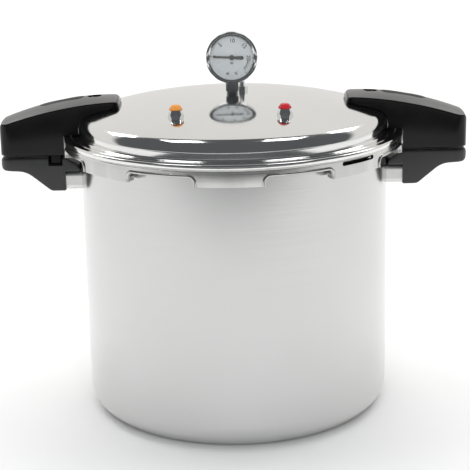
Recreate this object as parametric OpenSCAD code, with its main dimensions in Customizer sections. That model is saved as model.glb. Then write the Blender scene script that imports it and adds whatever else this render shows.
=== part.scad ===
// Pressure canner: a tall aluminium pot, a bayonet lid with a gasket, side handles,
// a dial gauge with its movement, a vent pipe with its weight, and two safety valves.
// The origin is the centre of the pot's underside, +Z is up, the handles lie along X
// and the gauge faces -Y. Sizes are in millimetres and angles in degrees.

/* [Pot] */
// Outside diameter of the pot
pot_d = 315; // [260:1:360]
// Height of the rim above the surface that the pot stands on
pot_h = 284; // [180:1:340]
// Thickness of the pot's wall
pot_wall = 3; // [2:0.1:4]
// Thickness of the pot's base
base_t = 4.5; // [3:0.1:8]
// Outside radius where the wall turns into the base
corner_r = 25; // [12:1:40]
// How far the rim's flange stands out from the wall
rim_reach = 4.5; // [3:0.1:6]
// Thickness of the rim's flange
rim_t = 4.5; // [3:0.1:5]

/* [Bayonet] */
// Number of lugs round the rim
lug_count = 8; // [6:1:10]
// How far each pot lug stands out from the wall
lug_reach = 11.2; // [9:0.1:13]
// Thickness of each pot lug
lug_t = 4.5; // [3:0.1:5]
// Width of each pot lug
lug_w = 54; // [30:1:58]
// Width of each notch in the lid's skirt
notch_w = 68; // [60:1:72]
// Height of each notch above the skirt's lower edge
notch_h = 9.5; // [6:0.1:11]
// Turn of the notch pattern from a symmetrical place
notch_turn = -1.5; // [-3:0.1:3]
// Thickness of the lid's inward tabs
tab_t = 4.5; // [3:0.1:5]
// Up and down play between a lug and a tab
lug_play = 0.6; // [0.4:0.1:1.5]

/* [Lid] */
// Thickness of the lid's wall
lid_t = 3.2; // [2.5:0.1:4]
// Rise of the dome's centre above its edge
dome_rise = 19.3; // [12:0.1:30]
// How much flatter the dome is at its centre, 2 is a plain bowl
dome_power = 2.8; // [2:0.1:3.5]
// Radius of the shoulder between the dome and its upright wall
shoulder_r = 14; // [8:0.5:18]
// Height of the upright wall's top corner above the flange
dome_wall_h = 17.2; // [14:0.1:25]
// How far the bead at the flange's edge stands out from the skirt
bead_reach = 1; // [0.5:0.1:2]
// Thickness of the skirt
skirt_t = 3.2; // [2.5:0.1:4]
// Width of the pressure relief slot in the skirt
relief_slot_w = 44; // [20:1:48]
// Height of the pressure relief slot
relief_slot_h = 4.2; // [3:0.1:4.5]

/* [Gasket] */
// Thickness of the lid's gasket
gasket_t = 3.9; // [3:0.1:5]
// Depth of the gasket's outer lip
gasket_lip = 4; // [2:0.1:6]

/* [Lid handles] */
// Width of a lid handle
grip_w = 46; // [36:1:50]
// Distance from the bead to the handle's outer end
grip_reach = 65; // [50:1:90]
// Distance from the bead to the handle's inner tip
grip_over = 58; // [50:1:75]
// Depth of the handle's side edge at the tip below the dome's centre
grip_tip_drop = 2.5; // [0:0.5:8]
// Fall of the side edge from the tip to the outer end
grip_fall = 23.5; // [15:0.5:30]
// Height of the crown across the top, at the middle of the handle
grip_crown = 6; // [3:0.1:8]
// Gap between the lid handles and the pot handles
grip_gap = 3; // [2:0.1:6]
// Radius of the outer corners seen from above
grip_corner_r = 12; // [6:0.5:16]
// Length of the label plate let into a handle's top
inlay_l = 46; // [30:1:56]
// Width of the label plate
inlay_w = 15; // [10:0.5:20]

/* [Pot handles] */
// Width of a pot handle
pot_grip_w = 42; // [34:1:48]
// Thickness of a pot handle at its outer end
pot_grip_end_t = 12.5; // [9:0.5:18]
// Height of a pot handle where it meets the ferrule
pot_grip_root_t = 34.5; // [30:0.5:40]
// Length of the ferrule between a pot handle and the pot
ferrule_l = 15.5; // [10:0.5:20]
// Height of the ferrule
ferrule_h = 19; // [16:0.5:24]
// Width of the ferrule
ferrule_w = 36; // [30:0.5:40]
// Thickness of the ferrule's wall
ferrule_t = 1.2; // [0.8:0.1:2]

/* [Gauge] */
// Outside diameter of the gauge's bezel
gauge_d = 52.6; // [46:0.2:60]
// Depth of the gauge from the bezel's face to the back of the case
gauge_depth = 19; // [17:0.5:26]
// Height of the gauge's centre above the lid
gauge_rise = 37.7; // [34:0.1:50]
// Width across the flats of the gauge's hexagon
gauge_hex = 12.7; // [11:0.1:16]
// Teeth on the pointer's pinion
pinion_teeth = 12; // [10:1:14]
// Teeth that the whole circle of the sector gear would have
sector_teeth = 72; // [60:6:72]
// Size of the gear teeth
gear_module = 0.36; // [0.3:0.01:0.38]

/* [Valves] */
// Distance of each safety valve to the side of the gauge
valve_x = 52.5; // [45:0.5:70]
// Distance of each safety valve in front of the gauge
valve_y = 92; // [60:1:100]
// Width across the flats of a valve's body
valve_hex = 14; // [12:0.5:18]
// Height of a valve's body above the lid
valve_h = 7; // [5:0.5:12]
// Sideways place of the vent pipe
vent_x = 10; // [8:0.5:20]
// Gap between the back of the gauge and the vent pipe
vent_gap = 6; // [3:0.5:15]

/* [Rack] */
// Gap between the canning rack and the pot's wall
rack_gap = 14.5; // [12:0.5:50]
// Height of the rack's top above the pot's floor
rack_h = 13; // [8:0.5:30]
// Thickness of the rack's sheet
rack_t = 1.5; // [1:0.1:3]

/* [Hidden] */

eps = 0.02;
fit = 0.05;
side_gap = 0.4;

pot_r = pot_d / 2;
lug_r = pot_r + lug_reach;
lug_top = pot_h - rim_t;
lug_bottom = lug_top - lug_t;

skirt_in_r = lug_r + 0.8;
skirt_r = skirt_in_r + skirt_t;
bead_r = skirt_r + bead_reach;
tab_top = lug_bottom - lug_play;
skirt_z = tab_top - tab_t;
gasket_gap = 0.25;
under_z = pot_h + gasket_gap + gasket_t;
flange_z = under_z + lid_t;
tab_in_r = pot_r + 3;

wall_r = pot_r + 1;
shoulder_z = flange_z + dome_wall_h;
dome_z = shoulder_z + dome_rise;
function dome_at(r) = dome_z - dome_rise * pow(r / wall_r, dome_power);

// Points along an arc about a centre.
function arc(cx, cy, r, a0, a1, n) =
    [for (i = [0:n]) let(a = a0 + (a1 - a0) * i / n) [cx + r * cos(a), cy + r * sin(a)]];

// Fillet of radius p[2] at the corner p between the points a and b.
function fillet(a, p, b, n) =
    let(pa = [a[0] - p[0], a[1] - p[1]], pb = [b[0] - p[0], b[1] - p[1]])
    let(u = pa / norm(pa), v = pb / norm(pb), half = acos(max(-1, min(1, u * v))) / 2)
    let(c = [p[0], p[1]] + (u + v) / norm(u + v) * p[2] / sin(half))
    let(s = [p[0], p[1]] + u * p[2] / tan(half) - c, e = [p[0], p[1]] + v * p[2] / tan(half) - c)
    let(a0 = atan2(s[1], s[0]), d = atan2(e[1], e[0]) - a0)
    arc(c[0], c[1], p[2], a0, a0 + (d > 180 ? d - 360 : d < -180 ? d + 360 : d), n);

// Closed outline through points [x, y, radius], with a fillet at each corner that has a radius.
function rounded(pts, n = 5) = [for (i = [0:len(pts) - 1])
    let(p = pts[i], a = pts[(i + len(pts) - 1) % len(pts)], b = pts[(i + 1) % len(pts)])
    each (p[2] > 0 ? fillet(a, p, b, n) : [[p[0], p[1]]])];

module at_each(n, turn = 0) {
    for (i = [0:n - 1]) rotate([0, 0, turn + i * 360 / n]) children();
}

module both_sides() {
    children();
    mirror([1, 0, 0]) children();
}

module hex_prism(across, h) {
    cylinder(d = across / cos(30), h = h, $fn = 6);
}

// ---- Pot ----

// One full ring of lugs is turned with the pot, then the gaps are milled out of it.
module lug_gaps() {
    half = 180 / lug_count - asin(lug_w / 2 / lug_r);
    reach = lug_r + 30;
    intersection() {
        translate([0, 0, lug_bottom - 1]) difference() {
            cylinder(r = lug_r + 5, h = lug_t + 1.5, $fn = 180);
            translate([0, 0, -1]) cylinder(r = pot_r + 0.4, h = lug_t + 4, $fn = 180);
        }
        at_each(lug_count, notch_turn - 90 + 180 / lug_count) translate([0, 0, lug_bottom - 5])
            linear_extrude(lug_t + 12) polygon([[0, 0], [reach, -reach * tan(half)], [reach, reach * tan(half)]]);
    }
}

module pot() {
    rim_r = pot_r + rim_reach;
    color("silver") difference() {
        rotate_extrude($fn = 180) polygon(rounded([
            [0, 0, 0], [pot_r, 0, corner_r], [pot_r, lug_bottom, 0], [lug_r, lug_bottom, 0.6], [lug_r, lug_top, 0.6],
            [rim_r, lug_top, 0], [rim_r, pot_h, 1], [pot_r - pot_wall, pot_h, 0.8],
            [pot_r - pot_wall, base_t, corner_r - pot_wall], [0, base_t, 0]], 8));
        lug_gaps();
    }
}

rack_r = pot_r - pot_wall - rack_gap;
rack_foot_r = min(rack_r - 12, pot_r - corner_r - 3);
rack_z = base_t + fit;

module canning_rack() {
    hole_d = 9;
    color("lightgray") difference() {
        rotate_extrude($fn = 120) polygon([
            [0, rack_z + rack_h - rack_t], [rack_foot_r - rack_t, rack_z + rack_h - rack_t],
            [rack_foot_r - rack_t, rack_z], [rack_foot_r, rack_z],
            [rack_foot_r, rack_z + rack_h - rack_t], [rack_r, rack_z + rack_h - rack_t],
            [rack_r, rack_z + rack_h], [0, rack_z + rack_h]]);
        for (ring = [1:4]) at_each(ring * 6, ring * 7)
            translate([ring * rack_r / 5.2, 0, rack_z + rack_h / 2]) cylinder(d = hole_d, h = rack_h, $fn = 32);
    }
}

// ---- Pot handles, written for the +X side ----

pot_grip_top = skirt_z - 1.6;
pot_grip_root_x = pot_r + ferrule_l;
pot_grip_end_x = bead_r + grip_reach + 0.5;
ferrule_z = pot_grip_top - pot_grip_root_t + 0.5;
ferrule_corner = 4.5;
tongue_z = ferrule_z + ferrule_h / 2;
tongue_l = ferrule_l + 24;
tongue_w = 22;
tongue_t = 3;
pot_screw_x = pot_grip_root_x + 9;
pot_screw_r = 2.4;

module pot_grip_outline() {
    low = pot_grip_top - pot_grip_root_t;
    end_low = pot_grip_top - pot_grip_end_t;
    polygon(rounded([
        [pot_r + 0.6, ferrule_z + ferrule_h + side_gap, 0], [pot_grip_root_x, ferrule_z + ferrule_h + side_gap, 0],
        [pot_grip_root_x, low, 1], [pot_grip_root_x + 15, low, 8],
        [pot_grip_root_x + 40, end_low - 1.5, 24], [pot_grip_end_x, end_low, 5],
        [pot_grip_end_x, pot_grip_top, 3], [pot_grip_root_x - 1, pot_grip_top, 12],
        [pot_r + 0.6, ferrule_z + ferrule_h + 6, 5]], 6));
}

module pot_handle() {
    head_r = 4.6;
    difference() {
        intersection() {
            translate([0, pot_grip_w / 2, 0]) rotate([90, 0, 0]) linear_extrude(pot_grip_w) pot_grip_outline();
            translate([0, 0, skirt_z - 60]) linear_extrude(60) polygon(rounded([
                [0, -pot_grip_w / 2, 0], [pot_grip_end_x, -pot_grip_w / 2, grip_corner_r],
                [pot_grip_end_x, pot_grip_w / 2, grip_corner_r], [0, pot_grip_w / 2, 0]], 8));
        }
        cylinder(r = pot_r + 0.5, h = pot_h, $fn = 180);
        translate([pot_r, -tongue_w / 2 - fit, tongue_z - tongue_t / 2 - fit])
            cube([tongue_l + fit, tongue_w + 2 * fit, tongue_t + 2 * fit]);
        translate([pot_screw_x, 0, 0]) cylinder(r = head_r + 0.5, h = tongue_z - 6, $fn = 48);
        translate([pot_screw_x, 0, 0]) cylinder(r = pot_screw_r + fit, h = tongue_z + 9, $fn = 48);
    }
}

module pot_handle_right() {
    color("#262626") pot_handle();
}

stop_x = pot_grip_root_x + 4;
stop_l = 11;
stop_w = 10;
stop_y = -grip_w / 2 + 8;
stop_drop = 8;
stop_gap = 1.8;

module pot_handle_left() {
    color("#262626") difference() {
        mirror([1, 0, 0]) pot_handle();
        translate([-stop_x - stop_l - stop_gap, -pot_grip_w, pot_grip_top - stop_drop])
            cube([stop_l + 2 * stop_gap, pot_grip_w + stop_y + stop_w + stop_gap, 2 * stop_drop]);
    }
}

module bracket() {
    pad_gap = 0.8;
    difference() {
        union() {
            intersection() {
                translate([0, 0, tongue_z - ferrule_h / 2]) difference() {
                    cylinder(r = pot_r + 3, h = ferrule_h, $fn = 180);
                    translate([0, 0, -1]) cylinder(r = pot_r, h = ferrule_h + 2, $fn = 180);
                }
                translate([pot_r - 20, 0, tongue_z]) rotate([0, 90, 0])
                    linear_extrude(40) ferrule_section(ferrule_t + pad_gap);
            }
            translate([pot_r + 1, -tongue_w / 2, tongue_z - tongue_t / 2])
                cube([tongue_l - 1, tongue_w, tongue_t]);
        }
        translate([pot_screw_x, 0, tongue_z - 10]) cylinder(r = pot_screw_r + fit, h = 20, $fn = 48);
    }
}

module pot_bracket_right() {
    color("#b8b8b8") bracket();
}

module pot_bracket_left() {
    color("#b8b8b8") mirror([1, 0, 0]) bracket();
}

module ferrule_section(inset) {
    w = ferrule_w / 2 - inset;
    h = ferrule_h / 2 - inset;
    r = ferrule_corner - inset;
    polygon(rounded([[h, -w, r], [h, w, r], [-h, w, r], [-h, -w, r]], 6));
}

module ferrule() {
    difference() {
        translate([pot_r - 8, 0, tongue_z]) rotate([0, 90, 0]) difference() {
            linear_extrude(ferrule_l + 8) ferrule_section(0);
            translate([0, 0, -1]) linear_extrude(ferrule_l + 10) ferrule_section(ferrule_t);
        }
        cylinder(r = pot_r, h = pot_h, $fn = 180);
    }
}

module ferrule_right() {
    color("#d8d8d4") ferrule();
}

module ferrule_left() {
    color("#d8d8d4") mirror([1, 0, 0]) ferrule();
}

module pot_handle_screws() {
    color("silver") both_sides() translate([pot_screw_x, 0, tongue_z - 6]) difference() {
        union() {
            translate([0, 0, -3]) cylinder(r = 4.6, h = 3, $fn = 48);
            translate([0, 0, -eps]) cylinder(r = pot_screw_r, h = 14.5, $fn = 48);
        }
        translate([-3.5, -0.6, -4]) cube([7, 1.2, 2]);
    }
}

// ---- Lid ----

dome_steps = 12;
dome_open_r = wall_r * 0.82;
foot_r = 2.5;

// The lid's outer line from the axis to the foot of the wall, moved outward by c.
function lid_line(c) = concat(
    [for (i = [0:dome_steps]) let(r = dome_open_r * i / dome_steps) [r, dome_at(r) + c, 0]],
    [[wall_r + c, dome_at(wall_r) + c, shoulder_r + c]]);

module lid_shell() {
    outer = concat(lid_line(0), [[wall_r, flange_z, foot_r], [bead_r - 9, flange_z, 0.6],
        [bead_r - 8.2, flange_z - 0.7, 0.6], [bead_r - 7.2, flange_z + 0.3, 0.6], [bead_r, flange_z + 0.3, 2],
        [bead_r, flange_z - 4.2, 1.6], [skirt_r - 1, flange_z - 5, 0.4], [skirt_r, flange_z - 6, 0.4]]);
    inner = [for (i = [len(lid_line(0)) - 1:-1:0]) let(p = lid_line(0)[i])
        [p[0] - (p[2] > 0 ? lid_t : 0), p[1] - lid_t, max(0, p[2] - lid_t)]];
    rim = [[skirt_r, skirt_z, 0.8], [tab_in_r, skirt_z, 0.8], [tab_in_r, tab_top, 0.8], [skirt_in_r, tab_top, 0],
        [skirt_in_r, under_z, 0], [wall_r - lid_t, under_z, 0]];
    rotate_extrude($fn = 180) polygon(rounded(concat(outer, rim, inner), 6));
}

module lid() {
    slot_r = relief_slot_h / 2;
    slot_z = flange_z - 6.4 - slot_r;
    slot_turn = notch_turn + 45 - 90;
    color("#d9d9d9") difference() {
        lid_shell();
        at_each(lug_count, notch_turn - 90 + 180 / lug_count) translate([tab_in_r - 6, 0, 0])
            rotate([90, 0, 90]) linear_extrude(40) polygon(rounded([
                [-notch_w / 2, skirt_z - 5, 0], [notch_w / 2, skirt_z - 5, 0],
                [notch_w / 2, skirt_z + notch_h, 5], [-notch_w / 2, skirt_z + notch_h, 5]], 6));
        rotate([0, 0, slot_turn]) translate([skirt_in_r - 12, 0, slot_z]) rotate([90, 0, 90])
            linear_extrude(30) polygon(rounded([
                [-relief_slot_w / 2, -slot_r, slot_r - 0.1], [relief_slot_w / 2, -slot_r, slot_r - 0.1],
                [relief_slot_w / 2, slot_r, slot_r - 0.1], [-relief_slot_w / 2, slot_r, slot_r - 0.1]], 5));
        translate([0, 0, dome_z - 20]) cylinder(r = stem_r + fit, h = 40, $fn = 48);
        valve_places() translate([0, 0, dome_z - 40]) cylinder(r = spigot_r + fit, h = 60, $fn = 48);
        translate([vent_x, vent_y, dome_z - 20]) cylinder(r = vent_r + fit, h = 40, $fn = 48);
    }
}

module gasket() {
    seat_in = wall_r - lid_t + 0.6;
    seat_out = skirt_in_r - 0.5;
    lip_in = pot_r + rim_reach + 0.5;
    color("#3a3a3a") rotate_extrude($fn = 180) polygon(rounded([
        [seat_in, pot_h + gasket_gap, 0.6], [lip_in, pot_h + gasket_gap, 0],
        [lip_in, pot_h - gasket_lip, 0.6], [lip_in + 2, pot_h - gasket_lip, 0.6],
        [lip_in + 2.6, pot_h + gasket_gap, 0], [seat_out, pot_h + gasket_gap, 0.6],
        [seat_out, under_z, 0], [seat_in, under_z, 0]], 3));
}

// ---- Lid handles, written for the +X side ----

grip_bottom = pot_grip_top + grip_gap;
grip_end_x = bead_r + grip_reach;
grip_tip_x = bead_r - grip_over;
grip_span = grip_end_x - grip_tip_x;
grip_tip_r = 7;
grip_edge_r = 6;

function rounding(d, r) = d > 0 ? r - sqrt(max(0, r * r - d * d)) : 0;
function grip_half(x) = grip_w / 2 - rounding(x - grip_end_x + grip_corner_r, grip_corner_r)
    - rounding(grip_tip_x + grip_tip_r - x, grip_tip_r);
crown_peak = 0.56;
crown_taper = 1.65;
grip_bend = 1.77;

function grip_share(x) = (x - grip_tip_x) / grip_span;
function crown_at(x) = grip_crown * (1 - crown_taper * pow(grip_share(x) - crown_peak, 2));
function grip_line(x) = dome_z - grip_tip_drop - grip_fall * pow(grip_share(x), grip_bend) + crown_at(x)
    - rounding(x - grip_end_x + grip_edge_r, grip_edge_r) - rounding(grip_tip_x + grip_edge_r - x, grip_edge_r);
function crown_drop(x, y) = crown_at(x) * pow(2 * y / grip_w, 2);

// One cross-section of the handle as points in space, lowered by d.
function grip_section(x, d) = let(h = grip_half(x), cut = 2.5)
    concat([[x, -h + cut, grip_bottom - d], [x, h - cut, grip_bottom - d], [x, h, grip_bottom + cut - d]],
        [for (i = [0:10]) let(y = h - h * i / 5) [x, y, grip_line(x) - crown_drop(x, y) - d]],
        [[x, -h, grip_bottom + cut - d]]);

grip_places = concat(
    [for (i = [0:4]) grip_tip_x + grip_tip_r * (1 - cos(i * 22.5))],
    [for (i = [1:9]) grip_tip_x + grip_tip_r + (grip_span - grip_tip_r - grip_corner_r) * i / 10],
    [for (i = [0:6]) grip_end_x - grip_corner_r + grip_corner_r * sin(i * 15)]);

// The handle's whole outer form, lowered by d.
module grip_form(d = 0) {
    rows = [for (x = grip_places) grip_section(x, d)];
    n = len(rows[0]);
    last = len(rows) - 1;
    polyhedron(points = [for (row = rows) each row], faces = concat(
        [[for (j = [0:n - 1]) j]],
        [for (i = [0:last - 1]) for (j = [0:n - 1]) let(k = (j + 1) % n)
            each [[i * n + j, (i + 1) * n + j, (i + 1) * n + k], [i * n + j, (i + 1) * n + k, i * n + k]]],
        [[for (j = [n - 1:-1:0]) last * n + j]]));
}

// Everything inside the lid's outer surface, grown by c.
module lid_space(c) {
    rotate_extrude($fn = 180) polygon(rounded(concat([[0, skirt_z - 20, 0]], lid_line(c),
        [[wall_r + c, flange_z + 0.3 + c, foot_r - c], [bead_r + c, flange_z + 0.3 + c, 1.5],
            [bead_r + c, skirt_z - 20, 0]]), 6));
}

inlay_x = grip_end_x - grip_span * 0.52;
inlay_t = 1.2;
lid_screw_x = grip_tip_x + 25.5;
lid_stud_top = dome_at(lid_screw_x) + 6;
lid_screw_seat = grip_line(lid_screw_x) - 4.5;

module inlay_shape(grow) {
    r = inlay_w / 2 + grow;
    straight = inlay_l / 2 - inlay_w / 2;
    translate([inlay_x, 0, grip_bottom + 20]) linear_extrude(60) {
        translate([-straight, -r]) square([2 * straight, 2 * r]);
        for (x = [-straight, straight]) translate([x, 0]) circle(r = r, $fn = 40);
    }
}

module lid_handle() {
    difference() {
        grip_form();
        lid_space(side_gap);
        difference() {
            inlay_shape(0.15);
            grip_form(inlay_t);
        }
        translate([lid_screw_x, 0, lid_screw_seat]) cylinder(r = 7.2, h = 20, $fn = 48);
        translate([lid_screw_x, 0, dome_z - 40]) cylinder(r = 4 + fit, h = lid_stud_top - dome_z + 40 + fit, $fn = 48);
        translate([lid_screw_x, 0, dome_z - 40]) cylinder(r = 2.5 + fit, h = 80, $fn = 48);
    }
}

module lid_handle_right() {
    color("#1c1c1c") lid_handle();
}

module lid_handle_left() {
    color("#1c1c1c") union() {
        mirror([1, 0, 0]) lid_handle();
        translate([-stop_x - stop_l, stop_y, pot_grip_top - stop_drop + stop_gap])
            cube([stop_l, stop_w, stop_drop - stop_gap + grip_gap + 1]);
    }
}

module handle_inlay() {
    difference() {
        intersection() {
            inlay_shape(0);
            grip_form(-0.4);
        }
        grip_form(inlay_t);
    }
}

module handle_inlay_right() {
    color("#4a4a48") handle_inlay();
}

module handle_inlay_left() {
    color("#4a4a48") mirror([1, 0, 0]) handle_inlay();
}

module lid_studs() {
    color("silver") both_sides() difference() {
        translate([lid_screw_x, 0, dome_at(lid_screw_x + 5) - 0.5])
            cylinder(r = 4, h = lid_stud_top - dome_at(lid_screw_x + 5) + 0.5, $fn = 48);
        lid_shell();
        translate([lid_screw_x, 0, dome_at(lid_screw_x) + 1]) cylinder(r = 2.5, h = 20, $fn = 48);
    }
}

module lid_handle_screws() {
    color("silver") both_sides() translate([lid_screw_x, 0, lid_screw_seat]) difference() {
        union() {
            cylinder(r = 5, h = 2.6, $fn = 48);
            translate([0, 0, dome_at(lid_screw_x) + 2 - lid_screw_seat])
                cylinder(r = 2.5, h = lid_screw_seat - dome_at(lid_screw_x) - 2 + eps, $fn = 48);
        }
        translate([-3.5, -0.6, 1.4]) cube([7, 1.2, 3]);
        translate([-0.6, -3.5, 1.4]) cube([1.2, 7, 3]);
    }
}

// ---- Gauge: the case's axis lies along Y and its face looks to -Y ----

gauge_z = dome_z + gauge_rise;
gauge_r = gauge_d / 2;
case_r = gauge_r - 1.2;
case_t = 1;
front_y = -gauge_depth / 2;
back_y = gauge_depth / 2;
stem_r = 5;
dial_y = front_y + 5.2;
dial_t = 0.8;
dial_r = case_r - case_t - 0.4;
shaft_r = 0.8;
gear_y = dial_y + dial_t + 3.2;
gear_t = 1.6;
plate_front_y = gear_y - 2;
plate_back_y = gear_y + gear_t + 1.2;
plate_t = 0.8;
gear_gap = gear_module * (pinion_teeth + sector_teeth) / 2;
sector_dir = -35;
sector_at = [gear_gap * cos(sector_dir), gear_gap * sin(sector_dir)];
tail_l = 4.5;
tail_dir = sector_dir - 75;
tail_at = sector_at + tail_l * [cos(tail_dir), sin(tail_dir)];
pointer_rest = 3;

// Places children drawn in the face's plane at y, with their height running back.
module at_face(y) {
    translate([0, y, gauge_z]) rotate([90, 0, 0]) mirror([0, 0, 1]) children();
}

module gauge_case() {
    color("#c8cdd0") difference() {
        at_face(front_y + 1.4) rotate_extrude($fn = 120) polygon(rounded([
            [0, back_y - front_y - 1.4 - case_t, 0], [case_r - case_t, back_y - front_y - 1.4 - case_t, 2],
            [case_r - case_t, 0, 0], [case_r, 0, 0], [case_r, back_y - front_y - 1.4, 3],
            [0, back_y - front_y - 1.4, 0]], 5));
        translate([0, stem_y, gauge_z - case_r - 5]) cylinder(r = neck_r + fit, h = 12, $fn = 48);
    }
}

module gauge_bezel() {
    color("#d4d8da") at_face(front_y) rotate_extrude($fn = 120) polygon(rounded([
        [gauge_r - 4, 0.6, 0], [gauge_r - 2.2, 0, 0.5], [gauge_r, 0.6, 1], [gauge_r, 5, 0.5],
        [case_r + fit, 5, 0], [case_r + fit, 1.4 - fit, 0], [gauge_r - 4, 1.4 - fit, 0]], 3));
}

module gauge_lens() {
    color("white", 0.35) at_face(front_y + 1.4 - fit) cylinder(r = case_r - case_t - 0.2, h = 1.2, $fn = 96);
}

module gauge_dial() {
    color("#eef2f4") at_face(dial_y) difference() {
        cylinder(r = dial_r, h = dial_t, $fn = 96);
        translate([0, 0, -1]) cylinder(r = shaft_r + 0.4, h = 3, $fn = 32);
        dial_screw_places() translate([0, 0, -1]) cylinder(r = 0.8, h = 3, $fn = 32);
    }
}

module dial_screw_places() {
    for (x = [-4.3, 4.3]) translate([x, -16.5, 0]) children();
}

module dial_screws() {
    color("silver") at_face(dial_y) dial_screw_places() {
        translate([0, 0, -0.6]) cylinder(r = 1.4, h = 0.6, $fn = 32);
        translate([0, 0, -eps]) cylinder(r = 0.75, h = dial_t + 3.8, $fn = 32);
    }
}

neck_r = 4.4;
stem_y = 1.5;
block_top = gauge_z - 14.4;
hex_bottom = dome_z + 3.2;
hex_top = gauge_z - gauge_r;

module gauge_stem() {
    block_w = 11;
    color("#8d9295") difference() {
        union() {
            translate([0, 0, dome_z - 13]) cylinder(r = stem_r, h = hex_bottom - dome_z + 13, $fn = 48);
            translate([0, 0, dome_z]) cylinder(r = stem_r + 0.8, h = hex_bottom - dome_z, $fn = 48);
            translate([0, 0, hex_bottom]) rotate([0, 0, 30]) hex_prism(gauge_hex, hex_top - hex_bottom);
            translate([0, stem_y, hex_top - eps]) cylinder(r = neck_r, h = gauge_z - case_r + 3 - hex_top, $fn = 48);
            translate([-block_w / 2, plate_front_y + plate_t, gauge_z - case_r + 2.5])
                cube([block_w, plate_back_y - plate_front_y - plate_t, block_top - gauge_z + case_r - 2.5]);
            translate([-2.5, plate_back_y - eps, gauge_z - tube_r - 2.3]) cube([5, 4.7, 4]);
        }
        bourdon_form();
        translate([0, 0, dome_z - 14]) cylinder(r = 1.5, h = hex_bottom - dome_z + 14, $fn = 32);
        dial_screw_bores();
    }
}

module dial_screw_bores() {
    at_face(dial_y) dial_screw_places() translate([0, 0, dial_t]) cylinder(r = 0.8, h = 4.2, $fn = 32);
}

module gauge_washer() {
    color("#333333") difference() {
        translate([0, 0, dome_z - lid_t - 2]) cylinder(r = 8.5, h = 2.6, $fn = 48);
        lid_shell();
        translate([0, 0, dome_z - 14]) cylinder(r = stem_r + fit, h = 30, $fn = 48);
    }
}

module gauge_nut() {
    color("silver") translate([0, 0, dome_z - lid_t - 7]) difference() {
        hex_prism(16, 5);
        translate([0, 0, -1]) cylinder(r = stem_r, h = 7, $fn = 48);
    }
}

// Two plates held apart by pillars; they carry the shaft and the sector's pin.
module movement_frame() {
    holes = [[0, 0], sector_at];
    pillars = [[-6.5, -4], [5.5, 5.5]];
    color("#c9a64a") {
        for (y = [plate_front_y, plate_back_y]) at_face(y) difference() {
            union() {
                translate([-9, -18.5]) cube([18, 19, plate_t]);
                hull() {
                    translate([-6, -6, 0]) cylinder(r = 3, h = plate_t, $fn = 32);
                    translate([6, 6, 0]) cylinder(r = 2.5, h = plate_t, $fn = 32);
                    translate([sector_at[0], sector_at[1], 0]) cylinder(r = 2.2, h = plate_t, $fn = 32);
                }
            }
            for (p = holes) translate([p[0], p[1], -1]) cylinder(r = shaft_r + fit, h = 3, $fn = 32);
            dial_screw_places() translate([0, 0, -1]) cylinder(r = 0.8, h = 3, $fn = 32);
        }
        for (p = pillars) at_face(plate_front_y + plate_t - eps) translate([p[0], p[1], 0])
            cylinder(r = 1, h = plate_back_y - plate_front_y - plate_t + 2 * eps, $fn = 32);
    }
}

// A toothed outline: teeth round the arc from tooth a to tooth b of a wheel with n teeth.
function teeth(n, a, b) = let(r = gear_module * n / 2, root = r - 1.2 * gear_module, tip = r + 0.75 * gear_module)
    [for (i = [a:b]) let(c = 360 / n * i, p = 360 / n)
        each [[root * cos(c - p * 0.27), root * sin(c - p * 0.27)], [tip * cos(c - p * 0.1), tip * sin(c - p * 0.1)],
            [tip * cos(c + p * 0.1), tip * sin(c + p * 0.1)], [root * cos(c + p * 0.27), root * sin(c + p * 0.27)]]];

module pointer_shaft() {
    length = plate_back_y + plate_t - dial_y + 2.2;
    color("#b08d3a") {
        at_face(dial_y - 2) cylinder(r = shaft_r, h = length, $fn = 32);
        at_face(gear_y) rotate([0, 0, sector_dir]) linear_extrude(gear_t)
            polygon(teeth(pinion_teeth, 0, pinion_teeth - 1));
    }
}

module gauge_pointer() {
    length = dial_r - 4;
    color("#1a1a1a") at_face(dial_y - 1.9) rotate([0, 0, -pointer_rest]) difference() {
        union() {
            linear_extrude(0.6) polygon([[-length, 0], [-length + 2, -0.9], [0, -1.1], [3, -1.3], [11, -2],
                [12.5, 0], [11, 2], [3, 1.3], [0, 1.1], [-length + 2, 0.9]]);
            translate([0, 0, -0.4]) cylinder(r = 2.6, h = 1.2, $fn = 48);
        }
        translate([0, 0, -0.15]) cylinder(r = shaft_r, h = 3, $fn = 32);
    }
}

module sector_gear() {
    swing = 225 * pinion_teeth / sector_teeth;
    first = -ceil(swing / 360 * sector_teeth) - 3;
    last = 3;
    face = sector_dir + 180;
    hub_r = 2.2;
    color("#b08d3a") difference() {
        union() {
            at_face(gear_y) translate([sector_at[0], sector_at[1], 0]) {
                rotate([0, 0, face + 180 / sector_teeth]) linear_extrude(gear_t)
                    polygon(concat([[0, 0]], teeth(sector_teeth, first, last)));
                cylinder(r = hub_r, h = gear_t, $fn = 32);
                rotate([0, 0, tail_dir]) translate([0, -1.2, 0]) cube([tail_l, 2.4, gear_t]);
                translate([tail_l * cos(tail_dir), tail_l * sin(tail_dir), 0]) cylinder(r = 1.5, h = gear_t, $fn = 32);
                translate([0, 0, -2]) cylinder(r = shaft_r, h = plate_back_y - gear_y + plate_t + 2, $fn = 32);
            }
        }
        at_face(gear_y - 1) translate([tail_at[0], tail_at[1], 0]) cylinder(r = 0.55, h = 4, $fn = 32);
    }
}

tube_r = 20.5;
tube_y = plate_back_y + plate_t + 0.4;

// A bent flat tube that runs from the socket round to its closed tip.
module bourdon_form() {
    at_face(tube_y) translate([0, 0, 1.6]) rotate([0, 0, -88]) rotate_extrude(angle = -296, $fn = 96)
        translate([tube_r, 0]) polygon(rounded([[-0.9, -1.5, 0.8], [0.9, -1.5, 0.8], [0.9, 1.5, 0.8],
            [-0.9, 1.5, 0.8]], 3));
}

module bourdon_tube() {
    color("#b5894a") bourdon_form();
}

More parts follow.
